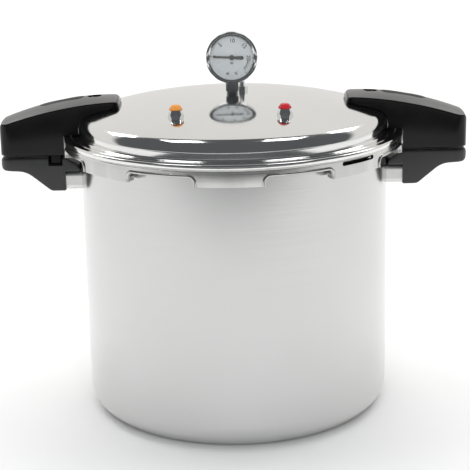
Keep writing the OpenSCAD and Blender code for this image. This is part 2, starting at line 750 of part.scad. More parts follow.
module tube_link() {
    far = tail_at + [6, 3.4];
    color("#9a9a9a") at_face(gear_y + gear_t + 0.15) {
        difference() {
            hull() {
                translate([tail_at[0], tail_at[1], 0]) cylinder(r = 1.2, h = 0.6, $fn = 32);
                translate([far[0], far[1], 0]) cylinder(r = 1.2, h = 0.6, $fn = 32);
            }
            translate([far[0], far[1], -1]) cylinder(r = 0.55, h = 3, $fn = 32);
        }
        translate([tail_at[0], tail_at[1], -gear_t]) cylinder(r = 0.5, h = gear_t + 0.1, $fn = 32);
    }
}

// ---- Valves ----

spigot_r = 4.6;
seat_drop = 1.4;
valve_reach = norm([valve_x, valve_y]);
valve_z = dome_at(valve_reach);

module relief_place() {
    rotate([0, 0, notch_turn]) translate([-valve_x, -valve_y, 0]) children();
}

module lock_place() {
    rotate([0, 0, notch_turn]) translate([valve_x, -valve_y, 0]) children();
}

module valve_places() {
    relief_place() children();
    lock_place() children();
}

// A six-sided body whose sides lean in, with a threaded spigot through the lid.
module valve_body() {
    intersection() {
        translate([0, 0, valve_z - seat_drop]) hex_prism(valve_hex, valve_h + seat_drop);
        translate([0, 0, valve_z - seat_drop])
            cylinder(r1 = valve_hex * 0.62, r2 = valve_hex * 0.4, h = valve_h + seat_drop, $fn = 60);
    }
    translate([0, 0, valve_z - 13]) cylinder(r = spigot_r, h = 12, $fn = 48);
}

module valve_nut() {
    translate([0, 0, valve_z - 10.5]) hex_prism(13, 8);
}

module relief_body() {
    color("#c9ccce") difference() {
        relief_place() valve_body();
        difference() {
            lid_shell();
            relief_place() translate([0, 0, valve_z - 20]) cylinder(r = spigot_r + fit, h = 40, $fn = 48);
        }
        relief_place() translate([0, 0, valve_z - 20]) cylinder(r = 2.6, h = 40, $fn = 48);
    }
}

module relief_plug() {
    color("#d98a2b") relief_place() rotate_extrude($fn = 60) polygon(rounded([
        [0, valve_z - 15, 0], [3.8, valve_z - 15, 1], [3.8, valve_z - 13 - fit, 0], [2.5, valve_z - 13 - fit, 0],
        [2.5, valve_z + valve_h + fit, 0], [6.6, valve_z + valve_h + fit, 0.5],
        [6.4, valve_z + valve_h + 1.4, 0.8], [3.8, valve_z + valve_h + 4.8, 2],
        [0, valve_z + valve_h + 5.2, 0]], 4));
}

module relief_nut() {
    color("silver") difference() {
        relief_place() valve_nut();
        lid_shell();
        relief_place() translate([0, 0, valve_z - 20]) cylinder(r = spigot_r, h = 40, $fn = 48);
    }
}

module lock_body() {
    color("#c9ccce") difference() {
        lock_place() valve_body();
        difference() {
            lid_shell();
            lock_place() translate([0, 0, valve_z - 20]) cylinder(r = spigot_r + fit, h = 40, $fn = 48);
        }
        lock_place() translate([0, 0, valve_z - 20]) cylinder(r = lock_r + fit, h = 40, $fn = 48);
    }
}

lock_r = 2.2;
lock_travel = 5;

module lock_pin() {
    color("silver") lock_place() {
        translate([0, 0, valve_z - 21]) cylinder(r = lock_r, h = valve_h + 23, $fn = 48);
        translate([0, 0, valve_z - 22.5]) cylinder(r = 5, h = 1.5 + eps, $fn = 48);
    }
}

module lock_cap() {
    top = valve_z + valve_h;
    color("#b01c2e") lock_place() difference() {
        rotate_extrude($fn = 60) polygon(rounded([
            [0, top + 0.1, 0], [6.6, top + 0.1, 0.5], [6.4, top + 1.4, 0.8], [3.8, top + 4.8, 2],
            [0, top + 5.2, 0]], 4));
        translate([0, 0, top - 1]) cylinder(r = lock_r, h = 3, $fn = 48);
    }
}

module lock_seal() {
    color("#8a8f92") lock_place() translate([0, 0, valve_z - 21 + fit]) difference() {
        cylinder(r = 4.6, h = 2, $fn = 48);
        translate([0, 0, -1]) cylinder(r = lock_r, h = 4, $fn = 48);
    }
}

module lock_nut() {
    color("silver") difference() {
        lock_place() valve_nut();
        lid_shell();
        lock_place() translate([0, 0, valve_z - 20]) cylinder(r = spigot_r, h = 40, $fn = 48);
    }
}

vent_r = 4;
vent_y = back_y + vent_gap + vent_r;
vent_z = dome_at(norm([vent_x, vent_y]));
vent_top = vent_z + 16;

module vent_pipe() {
    color("#cfd2d4") difference() {
        translate([vent_x, vent_y, 0]) {
            translate([0, 0, vent_z - 12]) cylinder(r = vent_r, h = 15, $fn = 48);
            translate([0, 0, vent_z - 1]) hex_prism(10.5, 5);
            translate([0, 0, vent_z + 4 - eps]) cylinder(r1 = 3.6, r2 = 2.6, h = vent_top - vent_z - 4, $fn = 48);
        }
        difference() {
            lid_shell();
            translate([vent_x, vent_y, vent_z - 20]) cylinder(r = vent_r + fit, h = 40, $fn = 48);
        }
        translate([vent_x, vent_y, vent_z - 13]) cylinder(r = 1.4, h = 40, $fn = 32);
    }
}

module vent_nut() {
    color("silver") difference() {
        translate([vent_x, vent_y, vent_z - lid_t - 5]) hex_prism(12, 6);
        lid_shell();
        translate([vent_x, vent_y, vent_z - 20]) cylinder(r = vent_r, h = 40, $fn = 48);
    }
}

pot();
pot_bracket_left();
pot_bracket_right();
ferrule_left();
ferrule_right();
pot_handle_left();
pot_handle_right();
pot_handle_screws();
canning_rack();
lid();
gasket();
lid_studs();
lid_handle_left();
lid_handle_right();
lid_handle_screws();
handle_inlay_left();
handle_inlay_right();
gauge_stem();
gauge_washer();
gauge_nut();
gauge_case();
gauge_bezel();
gauge_lens();
gauge_dial();
dial_screws();
movement_frame();
bourdon_tube();
tube_link();
sector_gear();
pointer_shaft();
gauge_pointer();
relief_body();
relief_plug();
relief_nut();
lock_body();
lock_pin();
lock_cap();
lock_seal();
lock_nut();
vent_pipe();
vent_nut();
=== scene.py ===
# Looks of the pressure canner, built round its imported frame.
# Outlines are written in millimetres and angles in degrees; meshes are made in metres.
import math
import bmesh
import bpy
from mathutils import Matrix, Vector


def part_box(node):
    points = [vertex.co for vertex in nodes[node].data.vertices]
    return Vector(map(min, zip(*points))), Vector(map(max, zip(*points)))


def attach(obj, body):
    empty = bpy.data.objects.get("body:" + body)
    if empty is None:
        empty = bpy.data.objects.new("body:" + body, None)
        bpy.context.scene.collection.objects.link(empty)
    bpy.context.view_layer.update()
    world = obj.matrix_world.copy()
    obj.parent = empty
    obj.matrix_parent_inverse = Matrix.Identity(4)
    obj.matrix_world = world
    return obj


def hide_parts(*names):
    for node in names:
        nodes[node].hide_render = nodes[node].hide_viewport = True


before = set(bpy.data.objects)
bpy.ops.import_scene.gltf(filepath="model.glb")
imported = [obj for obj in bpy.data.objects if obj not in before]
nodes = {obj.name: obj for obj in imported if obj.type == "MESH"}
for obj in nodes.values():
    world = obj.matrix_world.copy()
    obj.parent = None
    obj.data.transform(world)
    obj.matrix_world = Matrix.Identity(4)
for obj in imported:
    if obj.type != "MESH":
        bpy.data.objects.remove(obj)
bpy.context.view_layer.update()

MM = 0.001


def box_mm(node):
    """Lowest and highest corner of a CAD node, in millimetres."""
    low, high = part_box(node)
    return low / MM, high / MM


# ---- Sizes taken from the frame ----

pot_high = box_mm("pot")[1]
lid_low, lid_high = box_mm("lid")
bezel_low, bezel_high = box_mm("gauge_bezel")
grip_low, grip_high = box_mm("lid_handle_right")
pot_grip_low, pot_grip_high = box_mm("pot_handle_right")
ferrule_high = box_mm("ferrule_right")[1]

pot_h = pot_high.z
lug_r = pot_high.x
pot_r = lug_r - 11.2
pot_wall = 3
base_t = 4.5
corner_r = 25
rim_r = pot_r + 4.5
lug_t = 4.5
lug_w = 54
lug_count = 8
lug_top = pot_h - 4.5
lug_bottom = lug_top - lug_t

bead_r = lid_high.x
skirt_z = lid_low.z
dome_z = lid_high.z
lid_t = 3.2
skirt_r = bead_r - 1
skirt_in_r = skirt_r - 3.2
tab_t = 4.5
tab_top = skirt_z + tab_t
tab_in_r = pot_r + 3
under_z = pot_h + 4.15
flange_z = under_z + lid_t
wall_r = pot_r + 1
dome_rise = 19.3
dome_power = 2.8
shoulder_r = 14
foot_r = 2.5
notch_w = 68
notch_h = 9.5
notch_turn = -1.5
slot_w = 44
slot_h = 4.2
LID_HOLES = {"gauge_nut": 5.05, "relief_nut": 4.65, "lock_nut": 4.65, "vent_nut": 4.05}


def dome_at(r):
    return dome_z - dome_rise * (r / wall_r) ** dome_power


# ---- Mesh helpers ----


def arc(cx, cy, r, start, end, steps):
    """Points on an arc about (cx, cy), both ends included."""
    angles = [math.radians(start + (end - start) * i / steps) for i in range(steps + 1)]
    return [(cx + r * math.cos(a), cy + r * math.sin(a)) for a in angles]


def rounded(points, steps=10):
    """Closed outline through (x, y, radius) points, with an arc at each corner that has a radius."""
    outline = []
    for i, (x, y, r) in enumerate(points):
        if r <= 0:
            outline.append((x, y))
            continue
        corner = Vector((x, y))
        u = (Vector(points[i - 1][:2]) - corner).normalized()
        v = (Vector(points[(i + 1) % len(points)][:2]) - corner).normalized()
        half = u.angle(v) / 2
        centre = corner + (u + v).normalized() * (r / math.sin(half))
        first = corner + u * (r / math.tan(half)) - centre
        last = corner + v * (r / math.tan(half)) - centre
        start = math.degrees(math.atan2(first.y, first.x))
        turn = (math.degrees(math.atan2(last.y, last.x)) - start + 180) % 360 - 180
        outline += arc(centre.x, centre.y, r, start, start + turn, steps)
    return outline


def new_piece(name, verts, faces, sharp=35):
    """A smooth-shaded object from points in millimetres, with edges sharper than the angle kept crisp."""
    mesh = bpy.data.meshes.new(name)
    mesh.from_pydata([Vector(v) * MM for v in verts], [], faces)
    mesh.validate()
    piece = bpy.data.objects.new(name, mesh)
    bpy.context.scene.collection.objects.link(piece)
    shade(piece, sharp)
    return piece


def shade(piece, sharp=35):
    mesh = piece.data
    mesh.polygons.foreach_set("use_smooth", [True] * len(mesh.polygons))
    mesh.set_sharp_from_angle(angle=math.radians(sharp))


def turned(name, outline, segments=240, place=None, sharp=35):
    """A closed outline of (radius, height) points turned about the Z axis, then put in place by a matrix."""
    verts, rings = [], []
    for r, z in outline:
        if r < 1e-6:
            rings.append([len(verts)] * segments)
            verts.append((0, 0, z))
            continue
        rings.append(list(range(len(verts), len(verts) + segments)))
        for i in range(segments):
            a = 2 * math.pi * i / segments
            verts.append((r * math.cos(a), r * math.sin(a), z))
    faces = []
    for low, high in zip(rings, rings[1:] + rings[:1]):
        for i in range(segments):
            j = (i + 1) % segments
            face = list(dict.fromkeys([low[i], low[j], high[j], high[i]]))
            if len(face) > 2:
                faces.append(face)
    if place is not None:
        verts = [place @ Vector(v) for v in verts]
    piece = new_piece(name, verts, faces, sharp)
    tidy_normals(piece)
    return piece


def lofted(name, sections, sharp=35):
    """A solid through closed cross-sections that all have the same number of points."""
    count = len(sections[0])
    verts = [p for section in sections for p in section]
    faces = [list(range(count))[::-1]]
    for i in range(len(sections) - 1):
        for j in range(count):
            k = (j + 1) % count
            faces.append([i * count + j, i * count + k, (i + 1) * count + k, (i + 1) * count + j])
    faces.append([(len(sections) - 1) * count + j for j in range(count)])
    piece = new_piece(name, verts, faces, sharp)
    tidy_normals(piece)
    return piece


def tidy_normals(piece):
    """Turns every face outward."""
    bm = bmesh.new()
    bm.from_mesh(piece.data)
    bmesh.ops.recalc_face_normals(bm, faces=bm.faces)
    bm.to_mesh(piece.data)
    bm.free()


def prism(name, outline, axis_matrix, depth):
    """An outline in its own XY plane, extruded along its own Z by depth, then put in place."""
    count = len(outline)
    verts = [axis_matrix @ Vector((x, y, z)) for z in (0, depth) for x, y in outline]
    faces = [list(range(count))[::-1], list(range(count, 2 * count))]
    faces += [[i, (i + 1) % count, count + (i + 1) % count, count + i] for i in range(count)]
    piece = new_piece(name, verts, faces)
    tidy_normals(piece)
    return piece


def pin(name, x, y, low, high, r, steps=64):
    """An upright round bar."""
    outline = arc(0, 0, r, 0, 360 * (steps - 1) / steps, steps - 1)
    return prism(name, outline, Matrix.Translation((x, y, low)), high - low)


def joined(name, parts):
    """One object from several."""
    for part in bpy.context.selected_objects:
        part.select_set(False)
    for part in parts:
        part.select_set(True)
    bpy.context.view_layer.objects.active = parts[0]
    bpy.ops.object.join()
    parts[0].name = name
    parts[0].data.name = name
    return parts[0]


def applied(piece):
    """Bakes a piece's modifiers into its mesh."""
    graph = bpy.context.evaluated_depsgraph_get()
    mesh = bpy.data.meshes.new_from_object(piece.evaluated_get(graph))
    old = piece.data
    piece.modifiers.clear()
    piece.data = mesh
    bpy.data.meshes.remove(old)
    mesh.name = piece.name
    return piece


def cut(piece, cutter):
    """Cuts one solid with another, which is then removed."""
    modifier = piece.modifiers.new("cut", "BOOLEAN")
    modifier.operation = "DIFFERENCE"
    modifier.solver = "EXACT"
    modifier.object = cutter
    applied(piece)
    bpy.data.objects.remove(cutter)
    shade(piece)
    return piece


def mirrored(name, piece):
    """A copy of a piece mirrored to the -X side."""
    copy = bpy.data.objects.new(name, piece.data.copy())
    copy.data.name = name
    bpy.context.scene.collection.objects.link(copy)
    copy.data.transform(Matrix.Scale(-1, 4, (1, 0, 0)))
    copy.data.flip_normals()
    shade(copy)
    return copy


def finish_piece(piece, body, slot, *stands_for):
    """Gives a piece its slot's finish, its body and the CAD nodes that it stands for."""
    piece.data.materials.clear()
    piece.data.materials.append(FINISH[slot])
    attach(piece, body)
    if stands_for:
        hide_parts(*stands_for)
    return piece


def radial_place(azimuth, radius, z):
    """Local X runs across, local Y up and local Z outward, at an azimuth round the pot."""
    turn = Matrix.Rotation(math.radians(azimuth), 4, "Z")
    axes = Matrix(((0, 0, 1, radius), (1, 0, 0, 0), (0, 1, 0, z), (0, 0, 0, 1)))
    return turn @ axes


# ---- Materials ----


class Nodes:
    """Short way of writing one material's node tree."""

    def __init__(self, name):
        self.material = bpy.data.materials.new(name)
        self.material.use_nodes = True
        self.tree = self.material.node_tree
        self.shader = self.tree.nodes["Principled BSDF"]
        self.where = self.add("ShaderNodeTexCoord").outputs["Object"]

    def add(self, kind, **inputs):
        node = self.tree.nodes.new(kind)
        for key, value in inputs.items():
            self.set(node, key, value)
        return node

    def set(self, node, key, value):
        socket = node.inputs[key.replace("_", " ")] if isinstance(key, str) else node.inputs[key]
        if isinstance(value, bpy.types.NodeSocket):
            self.tree.links.new(value, socket)
        else:
            socket.default_value = value

    def math(self, operation, a, b=0.0):
        node = self.add("ShaderNodeMath")
        node.operation = operation
        self.set(node, 0, a)
        self.set(node, 1, b)
        return node.outputs[0]

    def noise(self, scale, detail=3.0, roughness=0.5, vector=None):
        node = self.add("ShaderNodeTexNoise", Scale=scale, Detail=detail, Roughness=roughness)
        self.set(node, "Vector", vector or self.where)
        return node.outputs[0]

    def turned_vector(self, around=1.0, along=1.0):
        """Coordinates in which circles about the Z axis are lines: tool marks follow them."""
        parts = self.add("ShaderNodeSeparateXYZ", Vector=self.where)
        x, y, z = parts.outputs
        square = self.math("ADD", self.math("MULTIPLY", x, x), self.math("MULTIPLY", y, y))
        r = self.math("SQRT", square)
        turn = self.math("ARCTAN2", y, x)
        vector = self.add("ShaderNodeCombineXYZ")
        self.set(vector, 0, self.math("MULTIPLY", turn, around))
        self.set(vector, 1, self.math("MULTIPLY", r, along))
        self.set(vector, 2, self.math("MULTIPLY", z, along))
        return vector.outputs[0]

    def span(self, value, low, high, from_low=0.3, from_high=0.7):
        node = self.add("ShaderNodeMapRange", Value=value)
        node.inputs["From Min"].default_value = from_low
        node.inputs["From Max"].default_value = from_high
        node.inputs["To Min"].default_value = low
        node.inputs["To Max"].default_value = high
        return node.outputs[0]

    def blend(self, share, first, second):
        node = self.add("ShaderNodeMix")
        self.set(node, 0, share)
        self.set(node, 2, first)
        self.set(node, 3, second)
        return node.outputs[0]

    def colours(self, value, dark, light):
        node = self.add("ShaderNodeMix")
        node.data_type = "RGBA"
        self.set(node, 0, value)
        node.inputs[6].default_value = (*dark, 1)
        node.inputs[7].default_value = (*light, 1)
        return node.outputs[2]

    def bump(self, height, strength, distance):
        node = self.add("ShaderNodeBump", Strength=strength, Distance=distance, Height=height)
        self.set(self.shader, "Normal", node.outputs[0])

    def surface(self, **values):
        for key, value in values.items():
            self.set(self.shader, key, value)


def metal(name, dark, light, rough, marks=0.02, mark_scale=900.0, turned_marks=True, anisotropy=0.0):
    """Metal with fine tool marks, cloudy handling wear and a slightly uneven polish."""
    m = Nodes(name)
    fine = m.turned_vector(0.6, mark_scale) if turned_marks else m.where
    lines = m.noise(1.0 if turned_marks else mark_scale, 4, 0.6, fine)
    cloud = m.noise(14, 4, 0.6)
    m.surface(Metallic=1.0, Anisotropic=anisotropy)
    m.surface(Base_Color=m.colours(cloud, dark, light))
    both = m.math("ADD", m.math("MULTIPLY", lines, 0.6), m.math("MULTIPLY", cloud, 0.4))
    m.surface(Roughness=m.span(both, *rough))
    m.bump(lines, marks, 0.0002)
    if anisotropy:
        tangent = m.add("ShaderNodeTangent")
        tangent.direction_type = "RADIAL"
        tangent.axis = "Z"
        m.surface(Tangent=tangent.outputs[0])
        m.surface(Anisotropic_Rotation=0.25)
    return m.material


def lid_metal():
    """Mirror-bright dome and shoulder, and a satin skirt below the bead whose colour is darkened in vertical
    streaks as painted reflection bands.
    """
    m = Nodes("lid_polish")
    height = m.add("ShaderNodeSeparateXYZ", Vector=m.where).outputs[2]
    lines = m.noise(1.0, 3, 0.6, m.turned_vector(0.8, 700))
    cloud = m.noise(11, 4, 0.6)
    skirt = m.span(height, 1, 0, (flange_z - 7) * MM, (flange_z - 5) * MM)
    # painted reflection: below the bead the base colour is darkened in vertical streaks
    streaks = m.noise(1.0, 3, 0.6, m.turned_vector(9, 4))
    painted_skirt_bands = m.math("MULTIPLY", skirt, m.span(streaks, 0.65, 1.0, 0.35, 0.65))
    tone = m.math("SUBTRACT", m.span(cloud, 0.85, 1.0), painted_skirt_bands)
    m.surface(Metallic=1.0, Base_Color=m.colours(tone, (0.54, 0.54, 0.53), (0.85, 0.85, 0.84)))
    polish = m.span(cloud, 0.07, 0.12)
    satin = m.span(lines, 0.12, 0.24)
    m.surface(Roughness=m.blend(skirt, polish, satin))
    m.bump(lines, 0.012, 0.0002)
    return m.material


TOP_PAINTED_LIGHT = (0.10, 0.10, 0.099)  # painted light: the colour that the handles' upward-facing tops are lightened to


def plastic(name, dark, light, rough, grain=0.05, grain_scale=2600.0, top_rough=None, coat=0.0):
    """Moulded phenolic: fine grain and cloudy gloss, rougher on faces that look up; those faces also get
    painted light, a lighter colour and a stronger specular level.
    """
    m = Nodes(name)
    cloud = m.noise(35, 4, 0.6)
    fine = m.noise(grain_scale, 3, 0.6)
    colour = (cloud, dark, light)
    gloss = m.span(cloud, *rough)
    if top_rough:
        normal = m.add("ShaderNodeNewGeometry").outputs["Normal"]
        up = m.add("ShaderNodeSeparateXYZ", Vector=normal).outputs[2]
        facing = m.span(up, 0, 1, 0.6, 0.85)
        # painted light: faces that look up are painted lighter and given a stronger specular level, varied a
        # little by the cloud noise
        painted_top_light = m.math("MULTIPLY", facing, m.span(cloud, 0.8, 1.0))
        colour = (painted_top_light, dark, TOP_PAINTED_LIGHT)
        gloss = m.blend(facing, gloss, m.span(cloud, *top_rough))
        m.surface(Specular_IOR_Level=m.span(painted_top_light, 0.22, 0.9))
    m.surface(Base_Color=m.colours(*colour), Roughness=gloss, Coat_Weight=coat, Coat_Roughness=0.1)
    m.bump(fine, grain, 0.0002)
    return m.material


def glass():
    m = Nodes("lens_glass")
    smear = m.noise(60, 3, 0.6)
    m.surface(Base_Color=m.colours(smear, (0.93, 0.96, 0.97), (0.97, 0.98, 0.98)))
    m.surface(Roughness=m.span(smear, 0.02, 0.07), Alpha=0.07)
    return m.material


FINISH = {
    "pot_aluminium": metal(
        "pot_polish", (0.60, 0.605, 0.595), (0.66, 0.665, 0.66), (0.16, 0.26), 0.03, 800, True, 0.5),
    "lid_aluminium": lid_metal(),
    "rack_aluminium": metal(
        "rack_mill", (0.62, 0.63, 0.63), (0.74, 0.75, 0.75), (0.28, 0.42), 0.08, 500),
    "ferrule_steel": metal(
        "ferrule_brushed", (0.76, 0.76, 0.745), (0.82, 0.82, 0.81), (0.26, 0.36), 0.008, 500),
    "bracket_steel": metal(
        "bracket_plated", (0.52, 0.53, 0.53), (0.66, 0.66, 0.65), (0.3, 0.45), 0.1, 400, False),
    "screw_steel": metal(
        "screw_plated", (0.50, 0.51, 0.52), (0.68, 0.68, 0.68), (0.2, 0.36), 0.06, 900, False),
    "handle_phenolic": plastic(
        "handle_gloss", (0.005, 0.005, 0.0055), (0.007, 0.007, 0.0075), (0.12, 0.2), 0.02, 2600,
        (0.30, 0.40)),
    "pot_handle_phenolic": plastic(
        "handle_satin", (0.024, 0.024, 0.025), (0.034, 0.034, 0.035), (0.34, 0.46), 0.05),
    "inlay_grey": plastic(
        "inlay_grey", (0.012, 0.012, 0.012), (0.02, 0.02, 0.02), (0.5, 0.62), 0.08, 1800),
    "gasket_rubber": plastic(
        "gasket_rubber", (0.020, 0.020, 0.020), (0.035, 0.035, 0.035), (0.55, 0.75), 0.1, 1500),
    "gauge_chrome": metal(
        "gauge_plating", (0.70, 0.71, 0.72), (0.82, 0.83, 0.83), (0.05, 0.12), 0.01, 700, False),
    "gauge_glass": glass(),
    "dial_enamel": plastic(
        "dial_enamel", (0.70, 0.75, 0.77), (0.76, 0.80, 0.82), (0.4, 0.5), 0.02, 1500),
    "pointer_black": plastic(
        "pointer_black", (0.012, 0.012, 0.013), (0.02, 0.02, 0.02), (0.35, 0.5), 0.05),
    "movement_brass": metal(
        "movement_brass", (0.62, 0.43, 0.17), (0.74, 0.55, 0.26), (0.22, 0.36), 0.06, 900, False),
    "tube_bronze": metal(
        "tube_bronze", (0.50, 0.29, 0.14), (0.63, 0.40, 0.22), (0.26, 0.4), 0.06, 900, False),
    "stem_steel": metal(
        "stem_steel", (0.20, 0.21, 0.22), (0.34, 0.35, 0.36), (0.28, 0.42), 0.2, 420, False),
    "valve_chrome": metal(
        "valve_chrome", (0.72, 0.73, 0.74), (0.84, 0.85, 0.85), (0.04, 0.1), 0.01, 800, False),
    "plug_orange": plastic(
        "plug_orange", (0.72, 0.27, 0.04), (0.82, 0.34, 0.06), (0.4, 0.52), 0.06, 1800),
    "cap_red": plastic(
        "cap_red", (0.48, 0.01, 0.02), (0.60, 0.02, 0.03), (0.16, 0.26), 0.03, 1800, None, 0.3),
    "seal_grey": plastic(
        "seal_grey", (0.22, 0.23, 0.24), (0.30, 0.31, 0.32), (0.5, 0.7), 0.08, 1500),
}


def dress_nodes():
    """Gives every CAD node the finish of its own slot."""
    for node in nodes.values():
        for place in node.material_slots:
            slot = place.material.name.split(".")[0]
            place.material = FINISH[slot]


dress_nodes()

# ---- Pot ----


def build_pot():
    outline = rounded([
        (0, 0, 0), (pot_r, 0, corner_r), (pot_r, lug_bottom, 0), (lug_r, lug_bottom, 0.6),
        (lug_r, lug_top, 0.6), (rim_r, lug_top, 0.3), (rim_r, pot_h, 1), (pot_r - pot_wall, pot_h, 0.8),
        (pot_r - pot_wall, base_t, corner_r - pot_wall), (0, base_t, 0)], 16)
    pot = turned("pot_shell", outline, 360)
    half = 180 / lug_count - math.degrees(math.asin(lug_w / 2 / lug_r))
    gaps = []
    for i in range(lug_count):
        middle = notch_turn - 90 + 180 / lug_count + i * 360 / lug_count
        sector = arc(0, 0, lug_r + 5, middle - half, middle + half, 16)
        sector += arc(0, 0, pot_r + 0.4, middle + half, middle - half, 16)
        gaps.append(prism("gap", sector, Matrix.Translation((0, 0, lug_bottom - 1)), lug_t + 1.5))
    cut(pot, joined("gaps", gaps))
    finish_piece(pot, "pot", "pot_aluminium", "pot")


build_pot()

# ---- Lid ----


def shoulder_start():
    """Angle at which the dome's line runs smoothly into the shoulder's arc."""
    angle = math.radians(18)
    for _ in range(20):
        r = wall_r - shoulder_r + shoulder_r * math.sin(angle)
        slope = dome_rise * dome_power / wall_r * (r / wall_r) ** (dome_power - 1)
        angle = math.atan(slope)
    return math.degrees(angle)


def dome_line(inset, steps):
    """The dome and shoulder from the axis to the top of the upright wall, moved inward by inset."""
    start = shoulder_start()
    centre_r = wall_r - shoulder_r
    meet_r = centre_r + shoulder_r * math.sin(math.radians(start))
    centre_z = dome_at(meet_r) - shoulder_r * math.cos(math.radians(start))
    radius = shoulder_r - inset
    last_r = centre_r + radius * math.sin(math.radians(start))
    line = []
    for i in range(steps):
        r = last_r * i / steps
        line.append((r, dome_at(r * meet_r / last_r) - inset))
    drop = centre_z + radius * math.cos(math.radians(start)) - (dome_at(meet_r) - inset)
    line = [(r, z + drop * (r / last_r) ** 2) for r, z in line]
    return line + arc(centre_r, centre_z, radius, 90 - start, 0, 24)


def lid_outline():
    top = dome_line(0, 70)
    under = dome_line(lid_t, 30)[::-1]
    low = rounded([
        (wall_r, flange_z + 8, 0), (wall_r, flange_z, foot_r), (bead_r - 9, flange_z, 0.6),
        (bead_r - 8.2, flange_z - 0.7, 0.6), (bead_r - 7.2, flange_z + 0.3, 0.6), (bead_r, flange_z + 0.3, 2),
        (bead_r, flange_z - 4.2, 1.6), (skirt_r - 1, flange_z - 5, 0.4), (skirt_r, flange_z - 6, 0.4),
        (skirt_r, skirt_z, 0.8), (tab_in_r, skirt_z, 0.8), (tab_in_r, tab_top, 0.8),
        (skirt_in_r, tab_top, 0.5), (skirt_in_r, under_z, 0.5), (wall_r - lid_t, under_z, 0),
        (wall_r - lid_t, flange_z + 8, 0)], 8)
    return top + low[1:-1] + under


def notch_outline():
    return rounded([(-notch_w / 2, -30, 0), (notch_w / 2, -30, 0), (notch_w / 2, notch_h, 5),
        (-notch_w / 2, notch_h, 5)], 10)


def notch_turns():
    return [notch_turn - 90 + 180 / lug_count + i * 360 / lug_count for i in range(lug_count)]


def notch_lip(azimuth):
    """The raised lip round one notch, a small half-round bead along its edge."""
    corner = 5
    half = notch_w / 2
    path = [(-half, z) for z in (0.4, 1.5, 3)]
    path += arc(-half + corner, notch_h - corner, corner, 180, 90, 10)
    path += [((half - corner) * i / 12, notch_h) for i in range(-11, 12)]
    path += arc(half - corner, notch_h - corner, corner, 90, 0, 10)
    path += [(half, z) for z in (3, 1.5, 0.4)]
    section = [(-0.2, -2.6), (-0.25, 0.2), (0.1, 0.9), (0.8, 1.3),
        (1.6, 1.3), (2.4, 0.9), (3.0, 0.0), (3.0, -0.8)]
    sections = []
    for i, (u, z) in enumerate(path):
        before, after = path[max(i - 1, 0)], path[min(i + 1, len(path) - 1)]
        along = Vector((after[0] - before[0], after[1] - before[1])).normalized()
        outward = Vector((-along.y, along.x))
        ring = []
        for off, rise in section:
            across, up = u + outward.x * off, z + outward.y * off
            a = math.radians(azimuth) + math.asin(across / skirt_r)
            r = skirt_r + rise
            ring.append((r * math.cos(a), r * math.sin(a), skirt_z + up))
        sections.append(ring)
    return lofted("lip", sections, 50)


def build_lid():
    lid = turned("lid_shell", lid_outline(), 480)
    cutters = [prism("notch", notch_outline(), radial_place(a, tab_in_r - 6, skirt_z), 40)
        for a in notch_turns()]
    half_h = slot_h / 2
    slot = rounded([(-slot_w / 2, -half_h, 2), (slot_w / 2, -half_h, 2), (slot_w / 2, half_h, 2),
        (-slot_w / 2, half_h, 2)], 8)
    slot_z = flange_z - 6.4 - half_h
    slot_place = radial_place(notch_turn + 45 - 90, skirt_in_r - 12, slot_z)
    cutters.append(prism("slot", slot, slot_place, 30))
    for node, hole_r in LID_HOLES.items():
        low, high = box_mm(node)
        middle = (low + high) / 2
        cutters.append(pin("hole", middle.x, middle.y, dome_z - 50, dome_z + 30, hole_r, 48))
    cut(lid, joined("lid_cuts", cutters))
    lid = joined("lid_shell", [lid] + [notch_lip(a) for a in notch_turns()])
    finish_piece(lid, "lid", "lid_aluminium", "lid")


build_lid()

# ---- Lid handles ----

grip_w = 46
grip_crown = 6
crown_peak = 0.56
crown_taper = 1.65
grip_bend = 1.77
grip_corner_r = 12
grip_tip_r = 7
grip_edge_r = 6
grip_fall = 23.5
grip_end_x = grip_high.x
grip_tip_x = grip_low.x
grip_bottom = grip_low.z
grip_tip_drop = 2.5
grip_span = grip_end_x - grip_tip_x
inlay_l = 46
inlay_w = 15
inlay_x = grip_end_x - grip_span * 0.52
lid_screw_x = grip_tip_x + 25.5
lid_well_r = 7.2
lid_well_depth = 4.5
bolt_hole_r = 4.05
side_gap = 0.4
inlay_t = 1.2
inlay_rise = 0.3
inlay_gap = 0.15
root_x = ferrule_high.x
pot_grip_top = pot_grip_high.z
stop_x = root_x + 4
stop_l = 11
stop_w = 10
stop_y = -grip_w / 2 + 8
stop_drop = 8
stop_gap = 1.8


def rounding(d, r):
    return r - math.sqrt(max(0, r * r - d * d)) if d > 0 else 0


def grip_half(x):
    return (grip_w / 2 - rounding(x - grip_end_x + grip_corner_r, grip_corner_r)
        - rounding(grip_tip_x + grip_tip_r - x, grip_tip_r))


def grip_share(x):
    return (x - grip_tip_x) / grip_span


def crown_at(x):
    return grip_crown * (1 - crown_taper * (grip_share(x) - crown_peak) ** 2)


def grip_line(x):
    return (dome_z - grip_tip_drop - grip_fall * max(0, grip_share(x)) ** grip_bend + crown_at(x)
        - rounding(x - grip_end_x + grip_edge_r, grip_edge_r)
        - rounding(grip_tip_x + grip_edge_r - x, grip_edge_r))


def crown_drop(x, y):
    return crown_at(x) * (2 * y / grip_w) ** 2


def grip_section(x):
    """One cross-section: rounded lower edges, upright sides and a crowned top with crisp, eased edges."""
    half = grip_half(x)
    top = grip_line(x)
    across = [half * (0.9 - 1.8 * i / 24) for i in range(25)]
    crown = [(y, top - crown_drop(x, y), 0) for y in across]
    edge = top - crown_drop(x, half)
    outline = rounded([(-half, grip_bottom, 2.2), (half, grip_bottom, 2.2), (half, edge, 1.3), *crown,
        (-half, edge, 1.3)], 6)
    return [(x, y, z) for y, z in outline]


